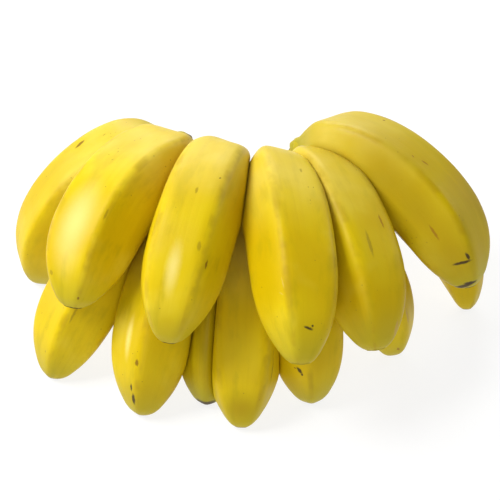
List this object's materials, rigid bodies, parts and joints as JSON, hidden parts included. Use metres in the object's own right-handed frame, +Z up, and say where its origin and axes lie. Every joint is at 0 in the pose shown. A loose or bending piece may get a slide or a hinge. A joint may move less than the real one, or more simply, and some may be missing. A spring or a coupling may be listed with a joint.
{
  "type": "hand of bananas",
  "caption": "Hand of short, plump, curved bananas that fan out from one woody crown in two rows and rest on their fingertips; ripe fruit to break off and peel.",
  "frame": {"origin": "on the table, under the middle of the hand's bounding box", "axes": "+X across the hand, its longest side; +Y from the fingertips back to the crown; +Z up"},
  "size_m": [0.2358, 0.142, 0.1072],
  "materials": {
    "skin": "smooth waxy skin",
    "crown": "dry, rough, cut fibre"
  },
  "bodies": {
    "root": {"banana_upper_1": "skin", "banana_upper_2": "skin", "banana_upper_3": "skin", "banana_upper_4": "skin", "banana_upper_5": "skin", "banana_upper_6": "skin", "banana_lower_1": "skin", "banana_lower_2": "skin", "banana_lower_3": "skin", "banana_lower_4": "skin", "banana_lower_5": "skin", "banana_lower_6": "skin", "banana_lower_7": "skin", "crown": "crown"}
  },
  "joints": []
}
